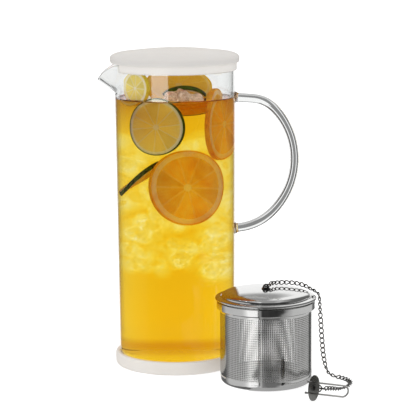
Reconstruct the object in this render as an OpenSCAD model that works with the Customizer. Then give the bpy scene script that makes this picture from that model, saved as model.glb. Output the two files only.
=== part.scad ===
// Tea infuser jug: straight glass jug with a pulled spout and a fused rod handle,
// a silicone lid and foot, and a perforated steel infuser on a chain with a hook.
// Millimetres. The origin is the middle of the jug's underside, +Z is up,
// the spout points to -X and the handle to +X. The infuser stands in front of the jug.

/* [Glass] */
// Outer radius of the glass at the rim
glass_rim_r = 50.1; // [49.9:0.05:50.3]
// Outer radius of the glass at the foot
glass_foot_r = 48.4; // [47.5:0.1:49]
// Height of the rim above the table
rim_z = 253.6; // [252:0.1:253.8]
// Wall thickness of the glass
glass_wall = 2.4; // [2.2:0.1:2.6]
// Thickness of the glass floor
glass_floor = 4; // [3:0.5:6]

/* [Spout] */
// Distance of the spout's tip from the jug's axis
spout_tip = 64.2; // [63.5:0.1:65]
// Height of the spout's centre line
spout_z = 248; // [247.5:0.1:248.5]
// Radius of the spout's outside at the tip
spout_tip_r = 7.5; // [7:0.1:8]

/* [Handle] */
// Diameter of the glass rod
rod_d = 7.4; // [6:0.1:8.5]
// Height of the rod's upper end
handle_z = 225; // [215:1:228]
// Length of the straight lead at the top
handle_lead = 15.5; // [12:0.5:18]
// Bend radius at the top corner
bend_top = 28; // [24:1:32]
// Bend radius of the grip
bend_grip = 62.5; // [56:0.5:64]
// Bend radius at the lower corner
bend_low = 45.5; // [40:0.5:50]

/* [Jug lid] */
// Radius of the lid's disc
lid_r = 53.8; // [53:0.1:56]
// Height of the top of the dome above the table
lid_top_z = 266.4; // [265:0.1:268]
// Depth of the skirt below the disc
skirt_h = 6; // [4:0.5:8]

/* [Base boot] */
// Largest radius of the boot
boot_r = 52.3; // [51.5:0.1:54]
// Height of the boot
boot_h = 11; // [10:0.5:13]
// Thickness of the boot under the glass
boot_floor = 3; // [2.5:0.5:4]

/* [Infuser] */
// Distance of the infuser in front of the jug's axis
inf_front = 68.5; // [68:0.5:74]
// Distance of the infuser to the handle side
inf_side = 73; // [73:0.5:75]
// Outer radius of the perforated wall
basket_r = 37.1; // [36.8:0.1:37.2]
// Thickness of the steel sheet
sheet = 0.6; // [0.5:0.05:0.7]
// Height where the perforated wall ends
wall_top = 59; // [58:0.5:60]
// Height of the plain bottom pan
pan_h = 7.4; // [6:0.2:9]
// Outer radius of the rim band
band_r = 39.8; // [39.6:0.1:40]
// Outer radius of the lid's bead
bead_r = 40.9; // [40.6:0.1:41.2]
// Height of the crown of the infuser's lid
crown_z = 76.4; // [76:0.1:76.8]

/* [Chain and hook] */
// Outer width of the chain
chain_d = 3.6; // [3:0.1:4]
// Radius of the hook's disc
disc_r = 10.1; // [9.5:0.1:10.5]
// Thickness of the hook's disc
disc_t = 1; // [0.8:0.1:1.2]
// Diameter of the hook's wire
wire_d = 1.4; // [1.2:0.1:1.6]
// Spacing of the wire's two legs
leg_gap = 8.9; // [8.5:0.1:9.3]
// Length of the wire's straight legs past the disc
leg_l = 25; // [24:0.5:25]

/* [Hidden] */
$fn = 96;

white_silicone = [0.91, 0.90, 0.88];
clear_glass = [0.86, 0.92, 0.92, 0.35];
steel = [0.74, 0.75, 0.76];
dark_steel = [0.45, 0.45, 0.46];

function arc(cx, cz, rx, rz, a0, a1, n) =
  [for (i = [0:n]) let (a = a0 + (a1 - a0) * i / n) [cx + rx * cos(a), cz + rz * sin(a)]];

// Outer radius of the glass at a height
function glass_r(z) = glass_foot_r + (glass_rim_r - glass_foot_r) * (z - boot_floor) / (rim_z - boot_floor);

corner_r = 7;                       // outer corner at the glass's foot
floor_z = boot_floor + glass_floor; // inside floor of the glass
rim_round = 1;

// ---- glass ----
module glass_outside() {
  rotate_extrude()
    polygon(concat(
      [[0, boot_floor]],
      arc(glass_r(boot_floor + corner_r) - corner_r, boot_floor + corner_r, corner_r, corner_r, -90, 0, 8),
      arc(glass_r(rim_z) - rim_round, rim_z - rim_round, rim_round, rim_round, 0, 90, 5),
      [[0, rim_z]]));
}

module glass_inside() {
  ir = 6;
  rotate_extrude()
    polygon(concat(
      [[0, floor_z]],
      arc(glass_r(floor_z + ir) - glass_wall - ir, floor_z + ir, ir, ir, -90, 0, 8),
      [[glass_r(rim_z + 5) - glass_wall, rim_z + 5], [0, rim_z + 5]]));
}

spout_slope = 0.736;                // radius gained per millimetre towards the wall
spout_wall = 2.7;
lip_x = 49.5;                       // where the lip leaves the rim
lip_angle = 33;                     // fall of the lip towards the tip
tip_angle = 31;                     // lean of the tip's end face

module spout_cone(less) {
  h = 30;
  translate([-spout_tip - 4, 0, spout_z]) rotate([0, 90, 0])
    cylinder(r1 = spout_tip_r - 4 * spout_slope - less, r2 = spout_tip_r + (h - 4) * spout_slope - less, h = h);
}

module glass_body() {
  color(clear_glass)
    difference() {
      union() {
        glass_outside();
        intersection() {
          spout_cone(0);
          translate([-90, -30, 200]) cube([46, 60, rim_z - 200]);
        }
      }
      glass_inside();
      translate([0.01, 0, 0]) spout_cone(spout_wall);
      // sloping lip
      translate([-lip_x, 0, rim_z]) rotate([0, 180 - lip_angle, 0]) mirror([0, 0, 1]) translate([0, -40, 0]) cube([60, 80, 40]);
      // leaning end face
      translate([-spout_tip, 0, spout_z - spout_tip_r]) rotate([0, tip_angle, 0]) translate([-40, -40, -10]) cube([40, 80, 60]);
    }
}

// ---- handle ----
h0 = -4;
turn1 = 44;
turn2 = 90;
turn3 = 36;
function step(p, h, l) = [p[0] + l * cos(h), p[1] + l * sin(h)];
function hub(p, h, r) = [p[0] + r * sin(h), p[1] - r * cos(h)];
function bend(p, h, r, a) = let (c = hub(p, h, r)) [c[0] - r * sin(h - a), c[1] + r * cos(h - a)];
function bend_row(p, h, r, turn, n) =
  [for (i = [1:n]) let (q = bend(p, h, r, turn * i / n)) [q[0], q[1], h - turn * i / n, rod_d / 2]];

ha = [49, handle_z];
hb = step(ha, h0, handle_lead);
hc = bend(hb, h0, bend_top, turn1);
hd = bend(hc, h0 - turn1, bend_grip, turn2);
he = bend(hd, h0 - turn1 - turn2, bend_low, turn3);
h_end = h0 - turn1 - turn2 - turn3;
tail = (he[0] - 49) / -cos(h_end);

// Sections of the rod: x, z, heading and radius, with a flare where each end is fused to the wall
flare = rod_d / 2 + 1.1;
rod_rows = concat(
  [for (f = [[0.9, flare], [2.2, flare], [3.6, rod_d / 2 + 0.3], [5, rod_d / 2], [10, rod_d / 2]])
    let (q = step(ha, h0, f[0])) [q[0], q[1], h0, f[1]]],
  [[hb[0], hb[1], h0, rod_d / 2]],
  bend_row(hb, h0, bend_top, turn1, 7),
  bend_row(hc, h0 - turn1, bend_grip, turn2, 14),
  bend_row(hd, h0 - turn1 - turn2, bend_low, turn3, 6),
  [for (f = [[5, rod_d / 2], [3.6, rod_d / 2 + 0.3], [2.2, flare], [0.6, flare]])
    let (q = step(he, h_end, tail - f[0])) [q[0], q[1], h_end, f[1]]]);

// A point brought onto the outside of the wall
function on_wall(p) = [sqrt(pow(glass_r(p[2]) + 0.08, 2) - p[1] * p[1]), p[1], p[2]];
function rod_ring(row, n) =
  [for (k = [0:n - 1]) let (c = row[3] * cos(360 * k / n))
    [row[0] - c * sin(row[2]), row[3] * sin(360 * k / n), row[1] + c * cos(row[2])]];

module glass_handle() {
  n = 20;
  m = len(rod_rows);
  first = rod_rows[0];
  last = rod_rows[m - 1];
  pts = concat(
    [for (q = rod_ring(first, n)) on_wall(q)],
    [for (i = [1:m - 2]) each rod_ring(rod_rows[i], n)],
    [for (q = rod_ring(last, n)) on_wall(q)],
    [on_wall([first[0], 0, first[1]]), on_wall([last[0], 0, last[1]])]);
  sides = [for (i = [0:m - 2], k = [0:n - 1])
    [i * n + k, i * n + (k + 1) % n, (i + 1) * n + (k + 1) % n, (i + 1) * n + k]];
  caps = [for (k = [0:n - 1]) each [
    [m * n, (k + 1) % n, k], [m * n + 1, (m - 1) * n + k, (m - 1) * n + (k + 1) % n]]];
  color(clear_glass) polyhedron(pts, concat(sides, caps), convexity = 6);
}

// ---- jug lid ----
seat_z = rim_z + 0.3;               // ceiling of the groove over the rim
disc_z = 254.2;                     // lower edge of the disc
wide_z = 258.6;                     // height of the widest line
shoulder_r = 41.4;
shoulder_z = 263.2;
ring_r = 47.15;                     // outside of the sealing ring
lip_r = 50.6;                       // inside of the skirt

module jug_lid() {
  skirt_z = disc_z - skirt_h;
  color(white_silicone)
    difference() {
      rotate_extrude()
        polygon(concat(
          [[0, 259], [0, lid_top_z]],
          [for (i = [1:7]) let (r = shoulder_r * i / 8) [r, lid_top_z - (lid_top_z - shoulder_z) * pow(i / 8, 2)]],
          arc(shoulder_r, wide_z, lid_r - shoulder_r, shoulder_z - wide_z, 90, 0, 12),
          arc(lid_r - 1.7, wide_z - 2.2, 1.7, 2.2, 0, -90, 6),
          [[lid_r - 2, disc_z], [lid_r - 2.2, skirt_z + 0.8], [lid_r - 2.6, skirt_z], [lip_r, skirt_z], [lip_r, seat_z],
           [ring_r, seat_z], [ring_r, skirt_z - 0.4], [ring_r - 0.6, skirt_z - 1], [45, skirt_z - 1], [45, 257.5], [43.5, 259]]));
      // opening over the spout
      translate([-80, -40, skirt_z - 5]) cube([35.5, 80, 5 + skirt_h]);
    }
}

// ---- base boot ----
module base_boot() {
  g = 0.15;
  color(white_silicone)
    rotate_extrude()
      polygon(concat(
        [[0, 0]],
        arc(boot_r - 2.4, 2.6, 2.2, 2.6, -90, 0, 6),
        [[boot_r, 5.6], [boot_r - 0.1, 7]],
        arc(boot_r - 1.6, boot_h - 2.2, 1.4, 2.2, 15, 90, 5),
        [[glass_r(boot_h) + g, boot_h]],
        arc(glass_r(boot_floor + corner_r) - corner_r, boot_floor + corner_r, corner_r + g, corner_r, 0, -90, 8),
        [[0, boot_floor]]));
}

// ---- infuser basket ----
module at_infuser() {
  translate([inf_side, -inf_front, 0]) children();
}

module basket_wall() {
  color(steel) at_infuser()
    translate([0, 0, pan_h]) difference() {
      cylinder(r = basket_r, h = wall_top - pan_h);
      translate([0, 0, -1]) cylinder(r = basket_r - sheet, h = wall_top - pan_h + 2);
    }
}

module basket_base() {
  er = 4;
  color(steel) at_infuser()
    rotate_extrude()
      polygon(concat(
        [[0, 0]],
        arc(basket_r - er, er, er, er, -90, 0, 8),
        [[basket_r, pan_h], [basket_r - sheet, pan_h]],
        arc(basket_r - er, er, er - sheet, er - sheet, 0, -90, 8),
        [[0, sheet]]));
}

module basket_rim() {
  z1 = wall_top + 2;
  z2 = wall_top + 3.2;
  top = 67.2;
  color(steel) at_infuser()
    rotate_extrude()
      polygon([
        [basket_r - 0.5, wall_top], [basket_r + 0.3, wall_top], [basket_r + 0.3, z1],
        [band_r - 0.5, z2], [band_r, z2 + 0.6], [band_r, top - 0.5], [band_r - 0.3, top],
        [band_r - 0.7, top], [band_r - 0.7, z2 + 0.9], [basket_r - 0.5, z1 + 0.6]]);
}

// ---- infuser lid ----
brim_z = 70.2;
foot_r = 35.8;
crown_r = 26;
function bow(r) = crown_z - 0.002 * r * r;  // the crown is slightly domed

module infuser_lid() {
  t = 0.7;
  rise = crown_z - 71.2;
  color(steel) at_infuser()
    difference() {
      rotate_extrude()
        polygon(concat(
          [[0, crown_z - t]], [for (r = [0:4:28]) [r, bow(r)]],
          arc(crown_r, 71.2, foot_r - crown_r, rise - 1.5, 74, 8, 8),
          [[foot_r + 0.2, 71], [37, 70.7]],
          arc(bead_r - 1.5, brim_z - 1, 1.5, 1.2, 80, -60, 8),
          [[bead_r - 1.4, 67.8], [bead_r - 1.6, 68.4]],
          [[39.2, 69.4], [36.4, 69.6], [foot_r - 0.6, 70.2]],
          arc(crown_r, 70.6, foot_r - crown_r - 0.7, rise - 1.6, 8, 74, 8),
          [for (r = [24:-4:4]) [r, bow(r) - t]]));
      translate([0, 0, crown_z - 3]) cylinder(r = 1.55, h = 6);
    }
}

module lid_collar() {
  color(steel) at_infuser()
    difference() {
      translate([0, 0, 63.4]) cylinder(r = 38.5, h = 6.6);
      translate([0, 0, 63]) cylinder(r = 37.9, h = 8);
      // top edge follows the underside of the brim
      rotate_extrude() polygon([[36.4, 69.6], [39.2, 69.4], [39.2, 71], [36.4, 71]]);
    }
}

eye_z = crown_z + 1.2;              // middle of the eye's arch
module ring(r, t) {
  rotate_extrude($fn = 48) translate([r, 0]) circle(r = t, $fn = 24);
}

module lid_eye() {
  color(dark_steel) at_infuser() {
    intersection() {
      translate([0, 0, eye_z]) rotate([0, 0, 30]) rotate([90, 0, 0]) ring(2.2, 0.7);
      translate([0, 0, crown_z + 0.8]) cylinder(r = 6, h = 6);
    }
    translate([0, 0, crown_z + 0.6]) cylinder(r = 3, h = 0.5);
    translate([0, 0, crown_z - 2.4]) cylinder(r = 1.5, h = 3.3);
  }
}

module eye_washer() {
  color(dark_steel) at_infuser()
    difference() {
      translate([0, 0, crown_z]) cylinder(r = 3.4, h = 0.6);
      translate([0, 0, crown_z - 1]) cylinder(r = 1.55, h = 3);
    }
}

module eye_nut() {
  color(dark_steel) at_infuser()
    difference() {
      translate([0, 0, crown_z - 2.2]) cylinder(r = 3, h = 1.4);
      translate([0, 0, crown_z - 3]) cylinder(r = 1.55, h = 4);
    }
}

// ---- chain and hook ----
// Route of the chain: off the lid's eye, over the bead, down to the table, round and into the hook
route = [
  [76.4, -63.8, 79.4], [78.6, -60, 79.1], [81.5, -56.8, 78.8], [84.8, -54.8, 78.6], [88.5, -54, 78.5], [93, -54, 78.4],
  [97.5, -55, 78.1], [101.5, -56.5, 77.6], [105.5, -58.5, 76.5], [109.5, -60.5, 74.6], [113, -62.5, 73.1], [115.6, -64, 70.9],
  [116.6, -64.6, 67], [117, -65, 60], [117.5, -65, 52], [118, -64.5, 44], [118.5, -64, 36], [119.2, -63, 28],
  [120, -62, 20], [121.4, -61, 12.5], [123, -60.5, 7], [125.5, -61, 3.4], [129.5, -63, 2.1], [133.5, -66.5, 2],
  [137, -71, 2], [139.5, -76.5, 2], [140.5, -83, 2], [139.5, -89.5, 2], [137, -96, 2], [133, -102.5, 2.2],
  [129, -109, 3.4], [124.8, -115, 5.3], [120.9, -120.5, 7], [117.4, -125.2, 8.1]
];
look = [0.5, 0.5, 0.7];
function unit(v) = v / norm(v);
function along(i) = unit(route[min(i + 1, len(route) - 1)] - route[max(i - 1, 0)]);
function tube_ring(i, r, n) =
  let (t = along(i), s = unit(cross(t, look)), u = cross(s, t))
  [for (k = [0:n - 1]) route[i] + r * (cos(360 * k / n) * s + sin(360 * k / n) * u)];

module chain() {
  n = 8;
  m = len(route);
  pts = [for (i = [0:m - 1]) each tube_ring(i, chain_d / 2, n)];
  sides = [for (i = [0:m - 2], k = [0:n - 1])
    [i * n + k, i * n + (k + 1) % n, (i + 1) * n + (k + 1) % n, (i + 1) * n + k]];
  color(dark_steel)
    polyhedron(pts, concat([[for (k = [n - 1:-1:0]) k]], sides, [[for (k = [0:n - 1]) (m - 1) * n + k]]), convexity = 8);
}

module chain_top_ring() {
  color(dark_steel)
    translate([74.53, -66.4, 78.65]) rotate([0, -7.7, 54]) ring(2.6, 0.5);
}

// Hook: the disc stands on its edge and the wire's loop rests on the table
hook_turn = 18;
hook_dip = 11;
hook_c = [108.3, -130.5, 10.02];
module at_hook() {
  translate(hook_c) rotate([0, hook_dip, hook_turn]) children();
}

module hook_disc() {
  color(dark_steel) at_hook() rotate([0, 90, 0])
    difference() {
      translate([0, 0, -disc_t / 2]) cylinder(r = disc_r, h = disc_t);
      for (s = [-1, 1]) translate([s * leg_gap / 2, 0, -disc_t]) cylinder(r = wire_d / 2 + 0.05, h = 2 * disc_t, $fn = 48);
      translate([0, 0, -disc_t]) cylinder(r = 1.05, h = 2 * disc_t, $fn = 48);
    }
}

module hook_wire() {
  prong = 6;
  r = wire_d / 2;
  color(dark_steel) at_hook() {
    for (s = [-1, 1]) translate([-prong, 0, s * leg_gap / 2]) rotate([0, 90, 0]) cylinder(r = r, h = leg_l + prong, $fn = 48);
    translate([leg_l, 0, 0]) rotate([90, 0, 0]) rotate([0, 0, -90]) rotate_extrude(angle = 180)
      translate([leg_gap / 2, 0]) circle(r = r, $fn = 48);
    // upset prong ends
    for (s = [-1, 1]) translate([-prong, 0, s * leg_gap / 2]) sphere(r = r + 0.35, $fn = 48);
  }
}

hook_eye_x = 4;                     // middle of the hook's eye in front of the disc
module hook_eye() {
  color(dark_steel) at_hook() {
    translate([hook_eye_x, 0, 0]) rotate([90, 0, 0]) ring(2.6, 0.5);
    rotate([0, 90, 0]) translate([0, 0, -disc_t / 2 - 0.9]) cylinder(r = 1, h = disc_t + 2, $fn = 48);
    rotate([0, 90, 0]) translate([0, 0, -disc_t / 2 - 0.9]) cylinder(r = 2, h = 0.9, $fn = 48);
  }
}

module chain_end_ring() {
  color(dark_steel)
    translate([115.36, -127.45, 8.7]) rotate([0, 11, 49]) ring(2.6, 0.45);
}

glass_body();
glass_handle();
jug_lid();
base_boot();
basket_wall();
basket_base();
basket_rim();
infuser_lid();
lid_collar();
lid_eye();
eye_washer();
eye_nut();
chain_top_ring();
chain();
chain_end_ring();
hook_disc();
hook_wire();
hook_eye();
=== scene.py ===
import math
import random

import bmesh
import bpy
import numpy as np
from mathutils import Matrix, Vector


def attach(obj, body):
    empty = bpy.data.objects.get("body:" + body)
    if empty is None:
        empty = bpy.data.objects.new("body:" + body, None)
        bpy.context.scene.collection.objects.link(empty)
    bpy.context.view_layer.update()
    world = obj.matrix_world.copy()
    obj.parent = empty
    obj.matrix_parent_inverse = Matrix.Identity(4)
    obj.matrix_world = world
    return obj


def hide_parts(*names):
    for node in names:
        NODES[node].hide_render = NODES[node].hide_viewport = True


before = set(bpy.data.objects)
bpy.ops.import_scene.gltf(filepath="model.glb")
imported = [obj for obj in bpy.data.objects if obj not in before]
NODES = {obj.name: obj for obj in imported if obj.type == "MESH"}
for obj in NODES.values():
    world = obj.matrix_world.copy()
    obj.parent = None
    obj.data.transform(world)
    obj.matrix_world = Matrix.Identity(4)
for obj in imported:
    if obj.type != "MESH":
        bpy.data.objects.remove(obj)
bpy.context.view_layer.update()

MM = 0.001
scene = bpy.context.scene


# ---------------------------------------------------------------- camera
def make_camera():
    pitch, roll = math.radians(9.21), math.radians(-0.40)
    look = Vector((0, math.cos(pitch), -math.sin(pitch)))
    right, up = Vector((1, 0, 0)), Vector((0, math.sin(pitch), math.cos(pitch)))
    x_axis = right * math.cos(roll) + up * math.sin(roll)
    y_axis = up * math.cos(roll) - right * math.sin(roll)
    data = bpy.data.cameras.new("camera")
    data.sensor_width = 36
    data.lens = 36 * 1800 / 416
    data.clip_start, data.clip_end = 0.05, 60
    cam = bpy.data.objects.new("camera", data)
    scene.collection.objects.link(cam)
    m = Matrix((x_axis, y_axis, -look)).transposed().to_4x4()
    m.translation = (0.0268, -1.493, 0.3737)
    cam.matrix_world = m
    scene.camera = cam


make_camera()


# ---------------------------------------------------------------- node helpers
class Mat:
    """A material with short calls for its nodes."""

    def __init__(self, name):
        self.m = bpy.data.materials.new(name)
        self.m.use_nodes = True
        self.t = self.m.node_tree
        self.t.nodes.clear()
        self.out = self.t.nodes.new("ShaderNodeOutputMaterial")

    def node(self, kind, inputs=None, **props):
        n = self.t.nodes.new(kind)
        for k, v in props.items():
            setattr(n, k, v)
        for k, v in (inputs or {}).items():
            if isinstance(v, bpy.types.NodeSocket):
                self.t.links.new(v, n.inputs[k])
            else:
                n.inputs[k].default_value = v
        return n

    def link(self, a, b):
        self.t.links.new(a, b)

    def coords(self, scale=(1, 1, 1), kind="Object"):
        tc = self.node("ShaderNodeTexCoord")
        return self.node("ShaderNodeMapping", {"Vector": tc.outputs[kind], "Scale": scale}).outputs["Vector"]

    def noise(self, vector, scale, detail=3.0, rough=0.5, distortion=0.0):
        return self.node("ShaderNodeTexNoise", {"Vector": vector, "Scale": scale, "Detail": detail, "Roughness": rough, "Distortion": distortion}).outputs["Fac"]

    def span(self, value, lo, hi, to_lo, to_hi, smooth=False):
        n = self.node("ShaderNodeMapRange", {"Value": value, "From Min": lo, "From Max": hi, "To Min": to_lo, "To Max": to_hi})
        if smooth:
            n.interpolation_type = "SMOOTHSTEP"
        return n.outputs["Result"]

    def math(self, op, a, b=0.0, c=0.0):
        n = self.node("ShaderNodeMath", {0: a, 1: b, 2: c}, operation=op)
        return n.outputs[0]

    def ramp(self, value, stops):
        n = self.node("ShaderNodeValToRGB", {"Fac": value})
        els = n.color_ramp.elements
        while len(els) < len(stops):
            els.new(0.5)
        for e, (pos, col) in zip(els, stops):
            e.position = pos
            e.color = (*col, 1)
        return n.outputs["Color"]

    def mix(self, fac, a, b, kind="MIX"):
        n = self.node("ShaderNodeMix", data_type="RGBA", blend_type=kind)
        for k, v in ((0, fac), (6, a), (7, b)):
            if isinstance(v, bpy.types.NodeSocket):
                self.t.links.new(v, n.inputs[k])
            else:
                n.inputs[k].default_value = v if not isinstance(v, tuple) else (*v, 1)[:4]
        return n.outputs[2]

    def bump(self, height, strength, distance, normal=None):
        n = self.node("ShaderNodeBump", {"Height": height, "Strength": strength, "Distance": distance})
        if normal is not None:
            self.link(normal, n.inputs["Normal"])
        return n.outputs["Normal"]

    def principled(self, inputs):
        return self.node("ShaderNodeBsdfPrincipled", inputs)

    def surface(self, shader):
        self.link(shader.outputs[0], self.out.inputs["Surface"])
        return self.m


# ---------------------------------------------------------------- mesh helpers
def add_mesh(name, verts, faces, material, sharp=None, mm=True):
    """A smooth-shaded mesh object; edges that fold by more than sharp degrees stay crisp."""
    me = bpy.data.meshes.new(name)
    v = np.asarray(verts, float) * (MM if mm else 1.0)
    me.from_pydata([tuple(p) for p in v], [], faces)
    me.update()
    bm = bmesh.new()
    bm.from_mesh(me)
    bmesh.ops.recalc_face_normals(bm, faces=bm.faces)
    for f in bm.faces:
        f.smooth = True
    if sharp:
        limit = math.radians(sharp)
        for e in bm.edges:
            if len(e.link_faces) == 2 and e.calc_face_angle(0) > limit:
                e.smooth = False
    bm.to_mesh(me)
    bm.free()
    for m in material if isinstance(material, (list, tuple)) else [material]:
        me.materials.append(m)
    ob = bpy.data.objects.new(name, me)
    scene.collection.objects.link(ob)
    return ob


def settle(ob, body, *nodes, slot=None):
    """The piece rides on a body, and the nodes given are hidden."""
    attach(ob, body)
    if nodes:
        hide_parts(*nodes)
    return ob


def arc(cx, cz, rx, rz, a0, a1, n):
    return [(cx + rx * math.cos(math.radians(a0 + (a1 - a0) * i / n)), cz + rz * math.sin(math.radians(a0 + (a1 - a0) * i / n))) for i in range(n + 1)]


def fillet(points, radii, n=6, closed=True):
    """A polyline with its corners rounded; a radius of 0 keeps a corner."""
    out = []
    m = len(points)
    for i, p in enumerate(points):
        r = radii[i] if i < len(radii) else 0
        if r <= 0 or (not closed and i in (0, m - 1)):
            out.append(p)
            continue
        p, a, b = np.array(p, float), np.array(points[i - 1], float), np.array(points[(i + 1) % m], float)
        u, v = a - p, b - p
        lu, lv = np.linalg.norm(u), np.linalg.norm(v)
        u, v = u / lu, v / lv
        half = math.acos(max(-1, min(1, float(u @ v)))) / 2
        if half > 1.55:
            out.append(tuple(p))
            continue
        t = min(r / math.tan(half), 0.48 * lu, 0.48 * lv)
        rr = t * math.tan(half)
        c = p + (u + v) / np.linalg.norm(u + v) * rr / math.sin(half)
        s, e = p + u * t - c, p + v * t - c
        turn = math.atan2(s[0] * e[1] - s[1] * e[0], s @ e)
        for k in range(n + 1):
            ang = turn * k / n
            out.append((c[0] + s[0] * math.cos(ang) - s[1] * math.sin(ang), c[1] + s[0] * math.sin(ang) + s[1] * math.cos(ang)))
    return out


def revolve(name, profile, material, segments=128, centre=(0, 0), sharp=40, angles=None):
    """A solid of revolution. profile is a list of (radius, height), or a function of the angle that gives one. A profile that starts and ends on the axis closes there; another is a closed loop."""
    ang = angles if angles is not None else [2 * math.pi * k / segments for k in range(segments)]
    get = profile if callable(profile) else (lambda a: profile)
    cols = [get(a) for a in ang]
    rows = len(cols[0])
    on_axis = [all(c[i][0] < 1e-6 for c in cols) for i in range(rows)]
    verts, index = [], []
    for i in range(rows):
        if on_axis[i]:
            verts.append((centre[0], centre[1], cols[0][i][1]))
            index.append([len(verts) - 1] * len(ang))
        else:
            row = []
            for a, c in zip(ang, cols):
                verts.append((centre[0] + c[i][0] * math.cos(a), centre[1] + c[i][0] * math.sin(a), c[i][1]))
                row.append(len(verts) - 1)
            index.append(row)
    faces = []
    n = len(ang)
    last = rows if not (on_axis[0] and on_axis[-1]) else rows - 1
    for i in range(last):
        a, b = index[i], index[(i + 1) % rows]
        for k in range(n):
            k2 = (k + 1) % n
            f = [a[k], a[k2], b[k2], b[k]]
            f = [x for j, x in enumerate(f) if x not in f[:j]]
            if len(f) > 2:
                faces.append(f)
    return add_mesh(name, verts, faces, material, sharp)


def sweep(name, points, radii, material, sides=16, up=(0, 1, 0), caps=True, sharp=40):
    """A round rod along points (mm), one radius per point."""
    p = np.asarray(points, float)
    t = np.gradient(p, axis=0)
    t /= np.linalg.norm(t, axis=1)[:, None]
    verts, faces = [], []
    side = np.cross(t[0], up)
    for i in range(len(p)):
        side = side - (side @ t[i]) * t[i]
        side /= np.linalg.norm(side)
        other = np.cross(t[i], side)
        for k in range(sides):
            a = 2 * math.pi * k / sides
            verts.append(p[i] + radii[i] * (math.cos(a) * side + math.sin(a) * other))
    for i in range(len(p) - 1):
        for k in range(sides):
            k2 = (k + 1) % sides
            faces.append([i * sides + k, i * sides + k2, (i + 1) * sides + k2, (i + 1) * sides + k])
    if caps:
        faces.append(list(range(sides))[::-1])
        faces.append([(len(p) - 1) * sides + k for k in range(sides)])
    return add_mesh(name, verts, faces, material, sharp)


# ---------------------------------------------------------------- materials
def glass_material():
    m = Mat("clear_glass")
    wave = m.noise(m.coords((14, 14, 5)), 1.0, 1.0, 0.4)
    seed = m.noise(m.coords((1, 1, 1)), 180.0, 2.0)
    normal = m.bump(wave, 0.05, 0.001)
    shader = m.principled({
        "Base Color": (0.985, 0.995, 0.99, 1), "Roughness": m.span(seed, 0.3, 0.8, 0.0, 0.012), "IOR": 1.5,
        "Transmission Weight": 1.0, "Normal": normal})
    return m.surface(shader)


def silicone_material():
    m = Mat("white_silicone")
    co = m.coords()
    cloud = m.noise(co, 22.0, 3.0)
    grain = m.noise(co, 1400.0, 2.0)
    colour = m.ramp(cloud, [(0.3, (0.785, 0.765, 0.735)), (0.7, (0.82, 0.805, 0.78))])
    # painted shade: a little greyer over the lid disc's rounded edge and the band just under it
    z = m.node("ShaderNodeSeparateXYZ", {0: co}).outputs[2]
    thick = m.math("MULTIPLY", m.span(z, 0.2545, 0.2555, 0.0, 1.0), m.span(z, 0.2575, 0.2645, 1.0, 0.0))
    colour = m.mix(1.0, colour, m.ramp(thick, [(0.0, (1, 1, 1)), (1.0, (0.845, 0.845, 0.85))]), "MULTIPLY")
    normal = m.bump(grain, 0.12, 0.0002)
    shader = m.principled({
        "Base Color": colour, "Roughness": m.span(grain, 0.3, 0.7, 0.42, 0.56), "Specular IOR Level": 0.3, "Normal": normal})
    through = m.node("ShaderNodeBsdfTranslucent", {"Color": colour})
    return m.surface(m.node("ShaderNodeMixShader", {0: 0.3, 1: shader.outputs[0], 2: through.outputs[0]}))


def steel_material(name, base, rough, stretch, fine=0.08, shade=0.08):
    """Polished sheet: fine lines along the way it was turned or drawn, with a little haze."""
    m = Mat(name)
    lines = m.noise(m.coords(stretch), 1.0, 4.0, 0.6)
    haze = m.noise(m.coords(), 60.0, 3.0)
    low = tuple(c * (1 - shade) for c in base)
    colour = m.ramp(haze, [(0.3, low), (0.7, base)])
    normal = m.bump(lines, fine, 0.0001)
    r = m.math("ADD", m.span(lines, 0.3, 0.7, rough * 0.75, rough * 1.3), m.span(haze, 0.4, 0.8, 0.0, 0.03))
    shader = m.principled({"Base Color": colour, "Metallic": 1.0, "Roughness": r, "Normal": normal})
    return m.surface(shader)


def wet_glass_material():
    """The glass where tea wets it, and where the silicone foot holds it."""
    m = Mat("wet_glass")
    film = m.noise(m.coords(), 35.0, 2.0)
    tone = m.ramp(film, [(0.3, (0.992, 0.996, 0.994)), (0.7, (1.0, 1.0, 1.0))])
    return m.surface(m.principled({"Base Color": tone, "Roughness": m.span(film, 0.3, 0.8, 0.0, 0.004), "IOR": 1.0, "Specular IOR Level": 0.0, "Transmission Weight": 1.0}))


GLASS = glass_material()
WET = wet_glass_material()
SILICONE = silicone_material()
SHEET = steel_material("polished_sheet", (0.80, 0.80, 0.79), 0.11, (40, 40, 1300), 0.02)
PERFORATED = steel_material("perforated_sheet", (0.80, 0.80, 0.785), 0.12, (300, 300, 900), 0.04)
# painted shade: a dark copy of the perforated steel for the basket's inner wall, the sides of its holes and its cut
# edges
INSIDE_PAINTED_SHADE = steel_material("sheet_inside_painted_shade", (0.13, 0.125, 0.115), 0.35, (300, 300, 900), 0.1, 0.2)
SPUN = steel_material("spun_lid", (0.82, 0.82, 0.81), 0.08, (900, 900, 900), 0.03, 0.05)
DISC = steel_material("hook_disc_steel", (0.38, 0.375, 0.355), 0.2, (500, 500, 500), 0.25, 0.4)
BRIGHT_WIRE = steel_material("bright_wire", (0.72, 0.71, 0.69), 0.12, (700, 700, 700), 0.1, 0.25)
WIRE = steel_material("drawn_wire", (0.24, 0.235, 0.225), 0.16, (700, 700, 700), 0.1, 0.3)


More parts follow.
